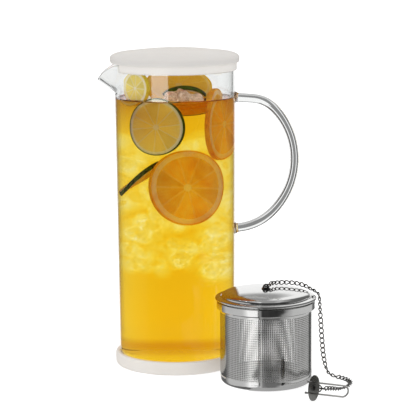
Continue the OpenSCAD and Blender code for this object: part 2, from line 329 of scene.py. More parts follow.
# ---------------------------------------------------------------- chain
ROUTE = [
    (76.4, -63.8, 79.4), (78.6, -60, 79.1), (81.5, -56.8, 78.8), (84.8, -54.8, 78.6), (88.5, -54, 78.5), (93, -54, 78.4),
    (97.5, -55, 78.1), (101.5, -56.5, 77.6), (105.5, -58.5, 76.5), (109.5, -60.5, 74.6), (113, -62.5, 73.1), (115.6, -64, 70.9),
    (116.6, -64.6, 67), (117, -65, 60), (117.5, -65, 52), (118, -64.5, 44), (118.5, -64, 36), (119.2, -63, 28),
    (120, -62, 20), (121.4, -61, 12.5), (123, -60.5, 7), (125.5, -61, 3.4), (129.5, -63, 2.1), (133.5, -66.5, 2),
    (137, -71, 2), (139.5, -76.5, 2), (140.5, -83, 2), (139.5, -89.5, 2), (137, -96, 2), (133, -102.5, 2.2),
    (129, -109, 3.4), (124.8, -115, 5.3), (120.9, -120.5, 7.0), (117.4, -125.2, 8.1)]


def smooth_path(points, step=0.4):
    """Catmull-Rom through the points, evenly spaced (mm)."""
    p = np.asarray(points, float)
    p = np.vstack([2 * p[0] - p[1], p, 2 * p[-1] - p[-2]])
    fine = []
    for i in range(1, len(p) - 2):
        for t in np.linspace(0, 1, 24, endpoint=False):
            a, b, c, d = p[i - 1], p[i], p[i + 1], p[i + 2]
            fine.append(0.5 * (2 * b + (c - a) * t + (2 * a - 5 * b + 4 * c - d) * t * t + (3 * b - a - 3 * c + d) * t ** 3))
    fine.append(p[-2])
    fine = np.array(fine)
    s = np.concatenate([[0], np.cumsum(np.linalg.norm(np.diff(fine, axis=0), axis=1))])
    n = int(round(s[-1] / step))
    at = np.linspace(0, s[-1], n + 1)
    return np.stack([np.interp(at, s, fine[:, k]) for k in range(3)], 1), s[-1]


# where the flat of the chain lies along its length: (share of the length, direction across the links)
LIE = [(0.0, (0.1, -0.3, 1)), (0.08, (0, -0.5, 1)), (0.16, (0, -0.4, 1)), (0.22, (0, -1, 0.5)), (0.26, (0.1, -1, 0)), (0.31, (0.4, -1, 0)), (0.36, (1, -0.35, 0)),
       (0.46, (1, 0.1, 0)), (0.53, (1, -0.3, 0)), (0.575, (0.35, -1, 0)), (0.605, (0.5, -1, 0)), (0.64, (1, -0.2, 0.3)), (0.68, (0.8, 0.2, 0.7)), (0.72, (0.5, 0.5, 0.3)),
       (0.78, (0.6, 0.3, 0.2)), (0.84, (1, 0.3, 0.1)), (0.9, (1, 0.5, 0.3)), (1.0, (0.4, 0.3, 1))]


def chain_links():
    path, length = smooth_path(ROUTE)
    seg = np.concatenate([[0], np.cumsum(np.linalg.norm(np.diff(path, axis=0), axis=1))])
    tang = np.gradient(path, axis=0)
    tang /= np.linalg.norm(tang, axis=1)[:, None]
    count = int(round(length / 4.25))
    pitch = length / count
    wire = 0.47
    long_r, wide_r = pitch / 2 + wire * 0.9, 1.66
    nu, nv = 32, 10
    rng = random.Random(23)
    verts, faces = [], []
    for i in range(count):
        s = (i + 0.5) * pitch
        c = np.array([np.interp(s, seg, path[:, k]) for k in range(3)])
        t = np.array([np.interp(s, seg, tang[:, k]) for k in range(3)])
        t /= np.linalg.norm(t)
        a = np.array([np.interp(s / length, [x[0] for x in LIE], [x[1][k] for x in LIE]) for k in range(3)])
        a -= (a @ t) * t
        a /= np.linalg.norm(a)
        b = np.cross(t, a)
        base = len(verts)
        lean = math.radians(rng.uniform(-9, 9))

        # curb link: an oval that twists a quarter turn from end to end
        def point(q):
            x, y = math.cos(q) * long_r, math.sin(q) * wide_r
            x *= 1 - 0.06 * math.sin(q) ** 2
            tw = lean + math.radians(42) * math.cos(q)
            return c + t * x + (a * math.cos(tw) + b * math.sin(tw)) * y
        for u in range(nu):
            phi = 2 * math.pi * u / nu
            p0, p1 = point(phi), point(phi + 0.01)
            d = p1 - p0
            d /= np.linalg.norm(d)
            o = p0 - c
            o = o - (o @ d) * d
            o /= np.linalg.norm(o)
            w = np.cross(d, o)
            for v in range(nv):
                q = 2 * math.pi * v / nv
                verts.append(p0 + wire * (math.cos(q) * o + math.sin(q) * w))
        for u in range(nu):
            for v in range(nv):
                u2, v2 = (u + 1) % nu, (v + 1) % nv
                faces.append([base + u * nv + v, base + u2 * nv + v, base + u2 * nv + v2, base + u * nv + v2])
    ob = add_mesh("chain_links", verts, faces, WIRE)
    settle(ob, "infuser_lid", "chain", slot="chain_steel")
    return ob


chain_links()

# ---------------------------------------------------------------- glass
RIM_Z, FOOT_Z, FLOOR_Z = 253.6, 3.0, 7.0


def glass_r(z):
    return 48.4 + 1.7 * (z - FOOT_Z) / (RIM_Z - FOOT_Z)


def smax(a, b, k):
    h = min(1.0, max(0.0, 0.5 + 0.5 * (a - b) / k))
    return b + (a - b) * h + k * h * (1 - h)


def smin(a, b, k):
    return -smax(-a, -b, k)


def wall_at(phi, z, inner):
    """Distance of the glass from the axis; phi is measured from the spout."""
    r = glass_r(z) - (2.4 if inner else 0.0)
    c, s = math.cos(phi), math.sin(phi)
    if c <= 0.5 or z < 215:
        return r
    reach = 54.75 - (2.7 if inner else 0.0)
    q = z - 248.0
    a, b, cc = s * s - 0.5417 * c * c, 1.472 * reach * c, q * q - reach * reach
    cone = -2 * cc / (b + math.sqrt(max(0.0, b * b - 4 * a * cc)))
    return smax(r, cone, 4.0)


LIP = 1.1


def rim_at(d):
    """Height of the rim's flanks at a distance d towards the spout, and the way that the rim faces there (outwards, up)."""
    flat, lip, end = RIM_Z - LIP, RIM_Z - 1.3 - (d - 49.5) * 0.6494, 240.5 - 2.1 + (64.2 - d) * 1.664
    z = smin(smin(flat, lip, 2.0), end, 2.5)
    e = 0.05
    lip2, end2 = RIM_Z - 1.3 - (d + e - 49.5) * 0.6494, 240.5 - 2.1 + (64.2 - d - e) * 1.664
    slope = (smin(smin(flat, lip2, 2.0), end2, 2.5) - z) / e
    n = math.hypot(slope, 1)
    return z, -slope / n, 1 / n


def top_of(phi, inner):
    lo, hi = 228.0, RIM_Z
    c = math.cos(phi)

    def over(z):
        d = wall_at(phi, z, inner) * max(c, 0.0)
        return z - rim_at(d)[0]
    for _ in range(50):
        mid = (lo + hi) / 2
        if over(mid) > 0:
            hi = mid
        else:
            lo = mid
    return (lo + hi) / 2


def glass_column(a):
    phi = abs(a - math.pi)
    phi = min(phi, 2 * math.pi - phi)
    pts = [(0, FOOT_Z), (14, FOOT_Z), (28, FOOT_Z), (38, FOOT_Z)]
    r0 = glass_r(FOOT_Z + 7)
    pts += arc(r0 - 7, FOOT_Z + 7, 7, 7, -90, 0, 12)
    zo, zi = top_of(phi, False), top_of(phi, True)
    pts += [(glass_r(z), z) for z in np.linspace(18, 214, 22)]
    rise = [215 + (zo - 215) * t for t in np.linspace(0, 1, 40)]
    pts += [(wall_at(phi, z, False), z) for z in rise]
    # fire-polished rim
    ro, ri = wall_at(phi, zo, False), wall_at(phi, zi, True)
    _, out, up = rim_at((ro + ri) / 2 * max(math.cos(phi), 0))
    mid, half = ((ro + ri) / 2, (zo + zi) / 2), ((ro - ri) / 2, (zo - zi) / 2)
    for t in np.linspace(0, math.pi, 11)[1:-1]:
        pts.append((mid[0] + math.cos(t) * half[0] + math.sin(t) * LIP * out, mid[1] + math.cos(t) * half[1] + math.sin(t) * LIP * up))
    fall = [zi + (215 - zi) * t for t in np.linspace(0, 1, 40)]
    pts += [(wall_at(phi, z, True), z) for z in fall]
    pts += [(glass_r(z) - 2.4, z) for z in np.linspace(214, 18, 22)]
    r1 = glass_r(FLOOR_Z + 6) - 2.4
    pts += arc(r1 - 6, FLOOR_Z + 6, 6, 6, 0, -90, 12)
    pts += [(28, FLOOR_Z), (14, FLOOR_Z), (0, FLOOR_Z)]
    return pts


fine = np.radians(np.arange(-33, 33, 0.75))
rest = np.radians(np.linspace(33, 327, 130, endpoint=False))
ANGLES = [math.pi + a for a in fine] + [math.pi + a for a in rest]
glass = revolve("glass_vessel", glass_column, [GLASS, WET], angles=ANGLES, sharp=None)
TEA_Z = 225.0
for f in glass.data.polygons:
    c = [glass.data.vertices[i].co / MM for i in f.vertices]
    if max(v.z for v in c) < TEA_Z + 1.3 and min(v.z for v in c) > FLOOR_Z - 0.5 and max(math.hypot(v.x, v.y) - glass_r(v.z) for v in c) < -2.0:
        f.material_index = 1
    # the corner that the silicone foot holds
    if max(v.z for v in c) < 10.95 and min(math.hypot(max(math.hypot(v.x, v.y) - 41.3, 0), min(v.z - 10, 0)) for v in c) > 6.7 and min(math.hypot(v.x, v.y) for v in c) > 41.3:
        f.material_index = 1
settle(glass, "jug", "glass_body", slot="clear_glass")


def handle_path():
    h0, turns = -4.0, ((28.0, 44.0), (62.5, 90.0), (45.5, 36.0))
    p, h = np.array([49.0, 225.0]), h0
    pts = [p + np.array([math.cos(math.radians(h)), math.sin(math.radians(h))]) * t for t in np.arange(-0.6, 15.4, 0.8)]
    p = p + np.array([math.cos(math.radians(h)), math.sin(math.radians(h))]) * 15.5
    for r, turn in turns:
        hub = p + r * np.array([math.sin(math.radians(h)), -math.cos(math.radians(h))])
        n = max(8, int(r * math.radians(turn) / 0.9))
        for i in range(n + 1):
            a = math.radians(h - turn * i / n)
            q = hub + r * np.array([-math.sin(a), math.cos(a)])
            if np.linalg.norm(q - pts[-1]) > 0.3:
                pts.append(q)
        h -= turn
        p = pts[-1]
    d = np.array([math.cos(math.radians(h)), math.sin(math.radians(h))])
    n = 12
    length = (p[0] - 48.0) / -d[0]
    pts += [p + d * length * i / n for i in range(1, n + 1)]
    return np.array([(q[0], 0.0, q[1]) for q in pts])


hp = handle_path()
hs = np.concatenate([[0], np.cumsum(np.linalg.norm(np.diff(hp, axis=0), axis=1))])
# the rod swells where each end was melted onto the wall
hr = [3.7 + 1.25 * (math.exp(-((min(s, hs[-1] - s) - 1.2) / 1.7) ** 2)) for s in hs]
handle = sweep("glass_rod_handle", hp, hr, GLASS, sides=48)
settle(handle, "jug", "glass_handle", slot="clear_glass")


# ---------------------------------------------------------------- silicone lid and foot
def step_at(phi, edge, width=1.1):
    """0 inside the opening over the spout, 1 outside it."""
    t = (math.degrees(phi) - edge) / width + 0.5
    t = min(1.0, max(0.0, t))
    return t * t * (3 - 2 * t)


def lid_column(a):
    phi = abs(a - math.pi)
    phi = min(phi, 2 * math.pi - phi)
    skirt = 254.0 - 5.8 * step_at(phi, 29.8)
    ring = 254.1 - 6.9 * step_at(phi, 15.5)
    pts = [(0, 266.4)]
    pts += [(41.4 * i / 12, 266.4 - 3.2 * (i / 12) ** 2) for i in range(1, 12)]
    pts += arc(41.4, 258.6, 12.4, 4.6, 90, 0, 20)
    pts += arc(52.1, 256.4, 1.7, 2.2, 0, -90, 8)[1:]
    pts += [(51.75, min(254.1, skirt + 5.9)), (51.62, skirt + 0.55 * (254.05 - skirt) + 0.02), (51.55, skirt + 0.25), (51.3, skirt), (50.8, skirt - 0.02), (50.6, skirt + 0.2)]
    pts += [(50.6, 253.6 + 0.2), (50.2, 253.95), (47.5, 253.95), (47.15, 253.7)]
    pts += [(47.15, min(253.65, ring + 0.5)), (46.9, min(253.75, ring)), (45.4, min(253.8, ring)), (45.0, min(253.85, ring + 0.4))]
    pts += [(45.0, 257.0), (44.6, 258.2), (43.5, 259.0), (30, 259), (15, 259), (0, 259)]
    return pts


la = [math.pi + math.radians(x) for x in np.concatenate([np.arange(-34, 34, 0.4), np.linspace(34, 326, 116, endpoint=False)])]
lid = revolve("silicone_lid", lid_column, SILICONE, angles=la, sharp=50)
settle(lid, "jug_lid", "jug_lid", slot="white_silicone")

boot_profile = [(0, 0), (30, 0)] + arc(49.9, 2.6, 2.2, 2.6, -90, 0, 10) + [(52.3, 5.6), (52.25, 7.0)] + arc(50.7, 8.8, 1.45, 2.2, 12, 90, 10)
boot_profile += [(48.75, 11.0)] + arc(41.4, 10.0, 7.2, 7.12, 0, -90, 12) + [(20, 2.88), (0, 2.88)]
boot = revolve("silicone_foot", boot_profile, SILICONE, 160, sharp=50)
settle(boot, "jug", "base_boot", slot="white_silicone")

# ---------------------------------------------------------------- infuser
INF = (73.0, -68.5)


def perforated_wall():
    around, rows = 140, 34
    r_out, r_in = 37.1, 36.5
    z0, z1 = 7.4, 59.0
    edge = 0.45
    hole = 0.57
    step_a = 2 * math.pi / around
    step_z = (z1 - z0 - 2 * edge) / rows
    verts, faces = [], []

    def put(ang, z, r):
        verts.append((INF[0] + r * math.cos(ang), INF[1] + r * math.sin(ang), z))
        return len(verts) - 1
    grid = {}
    levels = [z0] + [z0 + edge + step_z * j for j in range(rows + 1)] + [z1]
    for side, r in ((0, r_out), (1, r_in)):
        for j, z in enumerate(levels):
            for k in range(around):
                grid[side, j, k] = put(step_a * k, z, r)
    ring = {}
    for side, r in ((0, r_out), (1, r_in)):
        for j in range(rows):
            zc = z0 + edge + step_z * (j + 0.5)
            for k in range(around):
                ac = step_a * (k + 0.5)
                ring[side, j, k] = [put(ac + hole * math.cos(math.radians(45 * i)) / r_out, zc + hole * math.sin(math.radians(45 * i)), r) for i in range(8)]
    for side in (0, 1):
        for j in range(rows):
            for k in range(around):
                k2 = (k + 1) % around
                # corners at 45, 135, 225 and 315 degrees
                cs = [grid[side, j + 2, k2], grid[side, j + 2, k], grid[side, j + 1, k], grid[side, j + 1, k2]]
                h = ring[side, j, k]
                tri = []
                for q in range(4):
                    a, b = cs[q], cs[(q + 1) % 4]
                    i0, i1, i2 = 1 + 2 * q, 2 + 2 * q, (3 + 2 * q) % 8
                    i1 %= 8
                    tri += [(a, b, h[i1]), (a, h[i1], h[i0]), (b, h[i2], h[i1])]
                faces += [t if side == 0 else t[::-1] for t in tri]
        for j in (0, rows + 1):
            for k in range(around):
                k2 = (k + 1) % around
                f = (grid[side, j, k], grid[side, j, k2], grid[side, j + 1, k2], grid[side, j + 1, k])
                faces.append(f if side == 0 else f[::-1])
    for j in range(rows):
        for k in range(around):
            o, i = ring[0, j, k], ring[1, j, k]
            for q in range(8):
                q2 = (q + 1) % 8
                faces.append((o[q], o[q2], i[q2], i[q]))
    for k in range(around):
        k2 = (k + 1) % around
        for j in (0, len(levels) - 1):
            faces.append((grid[0, j, k], grid[0, j, k2], grid[1, j, k2], grid[1, j, k]))
    ob = add_mesh("basket_mesh_wall", verts, [list(f) for f in faces], [PERFORATED, INSIDE_PAINTED_SHADE], 40)
    # outer faces take the plain steel; the inner wall, hole sides and cut edges take the dark copy with painted shade
    outer = 12 * around * rows + 2 * around
    ob.data.polygons.foreach_set("material_index", [0] * outer + [1] * (len(faces) - outer))
    return ob


settle(perforated_wall(), "infuser", "basket_wall", slot="polished_steel")

pan = [(0, 0.0), (20, 0.0)] + arc(33.1, 4, 4, 4, -90, 0, 14) + [(37.1, 7.1), (36.95, 7.38), (36.55, 7.38)] + arc(33.1, 4, 3.4, 3.4, 0, -90, 12) + [(20, 0.6), (0, 0.6)]
settle(revolve("basket_pan", pan, SHEET, 160, INF), "infuser", "basket_base", slot="polished_steel")

rim = fillet([(36.6, 59), (37.4, 59), (37.4, 60.4), (39.3, 61.0), (39.8, 61.5), (39.7, 66.8), (39.4, 67.2), (39.1, 67.2), (39.1, 63.1), (36.6, 61.6)],
             [0.1, 0.2, 0.5, 0.4, 0.4, 0.3, 0.15, 0.2, 0.8, 0.5], 5)
settle(revolve("basket_rim_band", rim, SHEET, 192, INF), "infuser", "basket_rim", slot="polished_steel")

lid_top = [(0, 76.4)] + [(28.0 * i / 14, 76.4 - 0.002 * (28.0 * i / 14) ** 2) for i in range(1, 15)] + arc(26, 71.2, 9.8, 3.7, 74, 6, 24) + [(35.8, 70.75), (35.85, 70.45), (36.0, 70.35), (36.25, 70.45), (36.4, 70.66), (36.7, 70.74), (37.4, 70.68)]
lid_bead = arc(39.4, 69.2, 1.5, 1.2, 84, -62, 16) + [(39.6, 67.85), (39.35, 68.3), (39.2, 69.35), (36.4, 69.6), (35.3, 70.1)]
lid_under = arc(26, 70.3, 9.0, 3.7, 3, 74, 18) + [(24, 74.55), (18, 75.05), (9, 75.54), (1.55, 75.7), (1.55, 76.39)]
pressed = lid_top[1:] + lid_bead + lid_under
settle(revolve("infuser_lid_pressing", pressed, SPUN, 192, INF), "infuser_lid", "infuser_lid", slot="polished_steel")

collar = fillet([(37.9, 63.4), (38.5, 63.4), (38.5, 69.44), (37.9, 69.48)], [0.15, 0.2, 0, 0], 4)
settle(revolve("infuser_lid_collar", collar, SHEET, 160, INF), "infuser_lid", "lid_collar", slot="polished_steel")

for name in ("lid_eye", "eye_washer", "eye_nut", "chain_top_ring", "chain_end_ring", "hook_disc", "hook_wire", "hook_eye"):
    ob = NODES[name]
    ob.data.materials.clear()
    ob.data.materials.append({"hook_wire": BRIGHT_WIRE, "hook_disc": DISC}.get(name, WIRE))
    if name in ("hook_disc", "eye_washer", "eye_nut"):
        bev = ob.modifiers.new("soft_edge", "BEVEL")
        bev.width, bev.segments, bev.limit_method, bev.angle_limit = 0.00018, 3, "ANGLE", math.radians(40)

# ---------------------------------------------------------------- contents of the jug


def tea_material():
    m = Mat("cold_tea")
    cav = m.node("ShaderNodeAttribute", attribute_name="ice_face").outputs["Fac"]
    ripple = m.noise(m.coords(), 90.0, 2.0)
    melt = m.noise(m.coords(), 140.0, 2.0)
    normal = m.bump(m.math("ADD", m.math("MULTIPLY", cav, melt), m.math("MULTIPLY", ripple, 0.03)), 0.3, 0.002)
    shader = m.principled({
        "Base Color": (1, 1, 1, 1), "Roughness": m.span(cav, 0, 1, 0.0, 0.02), "IOR": m.node("ShaderNodeAttribute", attribute_name="bends").outputs["Fac"],
        "Transmission Weight": 1.0, "Normal": normal})
    vol = m.node("ShaderNodeVolumeAbsorption", {"Color": (0.975, 0.865, 0.08, 1), "Density": 60.0})
    m.link(vol.outputs[0], m.out.inputs["Volume"])
    return m.surface(shader)


def cloudy_ice_material():
    m = Mat("cloudy_ice")
    co = m.coords()
    fog = m.noise(co, 150.0, 4.0, 0.6)
    shade = m.ramp(fog, [(0.25, (0.95, 0.96, 0.93)), (0.75, (1.0, 1.0, 0.98))])
    solid = m.principled({"Base Color": shade, "Roughness": 0.4, "Specular IOR Level": 0.2})
    back = m.node("ShaderNodeBsdfTranslucent", {"Color": shade})
    body = m.node("ShaderNodeMixShader", {0: 0.55, 1: solid.outputs[0], 2: back.outputs[0]})
    clear = m.node("ShaderNodeBsdfTransparent")
    return m.surface(m.node("ShaderNodeMixShader", {0: m.span(fog, 0.35, 0.8, 0.0, 0.03), 1: clear.outputs[0], 2: body.outputs[0]}))


def citrus_material(name, share, patch):
    m = Mat(name)
    tint = m.node("ShaderNodeAttribute", attribute_name="tint").outputs["Color"]
    co = m.coords()
    cells = m.node("ShaderNodeTexVoronoi", {"Vector": co, "Scale": 620.0}).outputs["Distance"]
    blot = m.noise(co, 90.0, 3.0)
    colour = m.mix(m.span(blot, 0.42, 0.72, 0.0, patch), tint, m.mix(1.0, tint, tint, "MULTIPLY"))
    stain = m.mix(1.0, colour, m.ramp(blot, [(0.3, (0.80, 0.50, 0.30)), (0.7, (0.86, 0.62, 0.40))]), "MULTIPLY")
    colour = m.mix(m.span(m.noise(co, 42.0, 2.0), 0.54, 0.7, 0.0, max(0.0, patch - 0.25)), colour, stain)
    normal = m.bump(cells, 0.5, 0.0004)
    front = m.principled({"Base Color": colour, "Roughness": m.span(blot, 0.3, 0.7, 0.22, 0.4), "Specular IOR Level": 0.3, "Normal": normal})
    through = m.node("ShaderNodeBsdfTranslucent", {"Color": colour, "Normal": normal})
    return m.surface(m.node("ShaderNodeMixShader", {0: share, 1: front.outputs[0], 2: through.outputs[0]}))


ORANGE, LEMON, GOLDEN = citrus_material("orange_slice", 0.72, 0.8), citrus_material("lemon_slice", 0.45, 0.22), citrus_material("golden_slice", 0.6, 0.3)
TEA, CLOUD = tea_material(), cloudy_ice_material()

FRUIT = {  # linear colours: flesh, flesh between vesicles, pith, peel, and the number of segments
    "lime": ((0.98, 0.86, 0.27), (0.92, 0.78, 0.19), (0.98, 1.0, 0.82), (0.075, 0.13, 0.006), 10),
    "lemon": ((0.92, 0.84, 0.28), (0.86, 0.74, 0.16), (0.97, 0.97, 0.84), (0.86, 0.74, 0.09), 9),
    "orange": ((0.98, 0.80, 0.17), (0.95, 0.68, 0.09), (1.0, 0.98, 0.74), (0.95, 0.62, 0.04), 10),
    "golden": ((0.99, 0.83, 0.14), (0.97, 0.77, 0.10), (0.99, 0.92, 0.36), (0.96, 0.72, 0.05), 10),
}


def citrus(name, kind, centre, normal, radius, thick, spin=0.0, seed=1):
    rng = random.Random(seed)
    flesh, gap, pith, peel, count = [np.array(x) if isinstance(x, tuple) else x for x in FRUIT[kind]]
    cuts = np.sort([2 * math.pi * (i + 0.22 * (rng.random() - 0.5)) / count for i in range(count)])
    peel_w = {"lime": 0.042, "lemon": 0.05, "orange": 0.045, "golden": 0.06}[kind]
    pith_w = {"lime": 0.075, "lemon": 0.13, "orange": 0.115, "golden": 0.08}[kind]
    line = (0.1, 1.3, 0.3) if kind in ("orange", "golden") else (0.12, 0.42, 0.65)
    fr_in, fr_pith, fr_flesh = 0.085, 1 - peel_w, 1 - peel_w - pith_w
    nt = 180
    fr = np.concatenate([[0.0, 0.04, fr_in], np.linspace(fr_in + 0.03, fr_flesh - 0.02, 15), [fr_flesh, fr_flesh + 0.015], np.linspace(fr_flesh + 0.03, fr_pith, 4), [fr_pith + 0.012, 1 - 0.012]])
    th = np.linspace(0, 2 * math.pi, nt, endpoint=False)
    wob = 1 + 0.012 * np.sin(2 * th + rng.random() * 6) + 0.008 * np.sin(3 * th + rng.random() * 6)
    near = np.min(np.abs((th[:, None] - cuts[None, :] + math.pi) % (2 * math.pi) - math.pi), axis=1)
    which = np.searchsorted(cuts, th) % count
    seg_tone = np.array([1 + 0.16 * (rng.random() - 0.5) for _ in range(count)])
    streak = np.array([rng.random() for _ in range(nt)])
    verts, tint = [], []
    order = []
    half = thick / 2
    curl = 0.0006 * (rng.random() - 0.2)

    def add(x, y, z, col):
        verts.append((x, y, z + curl * (x * x - 0.4 * y * y)))
        tint.append(np.clip(col, 0, 1))
        return len(verts) - 1
    for sgn in (1, -1):
        rings = []
        for i, f in enumerate(fr):
            if i == 0:
                rings.append([add(0, 0, sgn * half, pith)] * nt)
                continue
            row = []
            for k in range(nt):
                r = f * radius * wob[k]
                gap_mm = near[k] * r
                if f <= fr_in:
                    col, h = pith * 0.97, half
                elif f < fr_flesh:
                    u = (f - fr_in) / (fr_flesh - fr_in)
                    edge = min(1.0, max(0.0, (gap_mm - line[0]) / line[1]))
                    edge *= min(1.0, (fr_flesh - f) * radius / 0.6) * min(1.0, (f - fr_in) * radius / 0.5 + 0.3)
                    s = 0.5 + 0.5 * math.sin(streak[k] * 6.28 + u * (6 + 5 * streak[(k * 7) % nt]))
                    inside = (flesh * (1 - 0.45 * s) + gap * 0.45 * s) * seg_tone[which[k]]
                    col = (flesh * (1 - line[2]) + pith * line[2]) * (1 - edge) + inside * edge
                    h = half + 0.35 * edge - 0.12 + 0.10 * (s - 0.5) * edge
                elif f <= fr_pith:
                    u = (f - fr_flesh) / (fr_pith - fr_flesh)
                    col, h = pith * (1 - 0.25 * u * u) + peel * 0.25 * u * u, half
                else:
                    col, h = peel * 1.1, half - 0.12
                row.append(add(r * math.cos(th[k]), r * math.sin(th[k]), sgn * h, col))
            rings.append(row)
        order.append(rings)
    edge_rows = []
    for a in (60, 25, 0, -25, -60):
        ca, sa = math.cos(math.radians(a)), math.sin(math.radians(a))
        row = []
        for k in range(nt):
            r = radius * wob[k] * (1 - 0.012 + 0.012 * ca)
            pore = 0.9 + 0.2 * rng.random()
            row.append(add(r * math.cos(th[k]), r * math.sin(th[k]), (half - 0.15) * sa / math.sin(math.radians(60)), peel * pore))
        edge_rows.append(row)
    strip = order[0] + edge_rows + order[1][::-1]
    faces = []
    for a, b in zip(strip, strip[1:]):
        for k in range(nt):
            k2 = (k + 1) % nt
            f = [a[k], a[k2], b[k2], b[k]]
            f = [x for j, x in enumerate(f) if x not in f[:j]]
            if len(f) > 2:
                faces.append(f)
    n = Vector(normal).normalized()
    rot = n.to_track_quat("Z", "Y").to_matrix() @ Matrix.Rotation(math.radians(spin), 3, "Z")
    world = np.array(verts) @ np.array(rot).T + np.array(centre)
    ob = add_mesh(name, world, faces, {"orange": ORANGE, "golden": GOLDEN}.get(kind, LEMON))
    att = ob.data.color_attributes.new("tint", "FLOAT_COLOR", "POINT")
    att.data.foreach_set("color", np.concatenate([np.array(tint), np.ones((len(tint), 1))], 1).astype(np.float32).ravel())
    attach(ob, "jug")
    return ob


def facing(az, el=0.0):
    """A direction seen from the jug: 0 is the front, positive turns to the handle."""
    a, e = math.radians(az), math.radians(el)
    return (math.sin(a) * math.cos(e), -math.cos(a) * math.cos(e), math.sin(e))


SLICES = [
    ("fill_lime_front", "lime", (-13.6, -36.2, 204.8), facing(-20, 0), 23.2, 3.6, 10, 3),
    ("fill_orange_front", "orange", (8.9, -31.0, 154.3), facing(16, 6), 30.6, 4.6, 30, 5),
    ("fill_orange_right", "orange", (32.6, -8.6, 204.0), facing(75, 0), 29.5, 4.4, 0, 7),
    ("fill_lime_edge", "lime", (-25.5, -12.0, 159.5), (-0.62, 0.24, 0.755), 22.0, 3.6, 0, 9),
    ("fill_lemon_left", "lemon", (-31.0, -13.0, 234.2), facing(-42, 0), 13.6, 4.0, 0, 11),
    ("fill_orange_top", "golden", (3.0, 13.0, 232.5), facing(8, 63), 28.0, 4.6, 12, 13),
    ("fill_lime_top", "lime", (7.0, 4.0, 222.5), facing(4, -52), 19.5, 4.0, 0, 15),
]
for s in SLICES:
    citrus(*s[:6], spin=s[6], seed=s[7])


def ice_shape(half, rot, centre, rng, n=7):
    """A melted cube: (verts, quads), mm."""
    verts, faces, seen = [], [], {}
    ph = [rng.random() * 6.28 for _ in range(6)]

    def put(p):
        key = tuple(round(x, 4) for x in p)
        if key not in seen:
            c = np.array(p, float)
            ball = c / np.linalg.norm(c) * 1.22
            q = c * 0.48 + ball * 0.52
            q = q * (1 + 0.05 * math.sin(2.3 * c[0] + ph[0]) * math.sin(2.1 * c[1] + ph[1]) + 0.05 * math.sin(2.6 * c[2] + ph[2]))
            seen[key] = len(verts)
            verts.append(rot @ (q * np.array(half)) + np.array(centre))
        return seen[key]
    g = [2 * i / n - 1 for i in range(n + 1)]
    for ax in range(3):
        for sg in (-1, 1):
            for i in range(n):
                for j in range(n):
                    quad = []
                    for di, dj in ((0, 0), (1, 0), (1, 1), (0, 1)):
                        p = [0, 0, 0]
                        p[ax], p[(ax + 1) % 3], p[(ax + 2) % 3] = sg, g[i + di], g[j + dj]
                        quad.append(put(p))
                    faces.append(quad if sg > 0 else quad[::-1])
    return np.array(verts), faces


def turn(rng):
    m = Matrix.Rotation(rng.random() * 6.28, 3, "X") @ Matrix.Rotation(rng.random() * 6.28, 3, "Y") @ Matrix.Rotation(rng.random() * 6.28, 3, "Z")
    return np.array(m)


def ice_places():
    rng = random.Random(41)
    found = []

    def put(p, h, room):
        p = np.array(p, float)
        if math.hypot(p[0], p[1]) > 45.6 - h * 1.2:
            return False
        if any(np.linalg.norm(p - q) < (h + g) * room for q, g in found):
            return False
        for s in SLICES:
            n = np.array(Vector(s[3]).normalized())
            d = p - np.array(s[2])
            off = abs(d @ n)
            flat = np.linalg.norm(d - (d @ n) * n)
            if off < h * 0.95 + 2 and flat < s[4] + h * 0.6:
                return False
        found.append((p, h))
        return True
    # drifts of small melted lumps, each along a line that runs back through the jug
    for across, z, count in ((-25, 115, 22), (-32, 90, 22), (3, 96, 22), (29, 108, 20), (32, 85, 20), (-12, 131, 10)):
        done = 0
        for _ in range(900):
            if done == count:
                break
            y = rng.uniform(-38, 36)
            x = (across + rng.gauss(0, 4.6)) / (1.3 + 0.011 * y)
            done += put((x, y, z - 0.12 * y + rng.gauss(0, 4.2)), rng.uniform(4.4, 7.4), 0.9)
    done = 0
    for _ in range(9000):
        if done == 56:
            break
        h = rng.uniform(6.0, 10.0)
        a, r = rng.random() * 6.28, math.sqrt(rng.random()) * 44
        done += put((r * math.cos(a), r * math.sin(a), rng.uniform(82, 188)), h, 1.0)
    return found


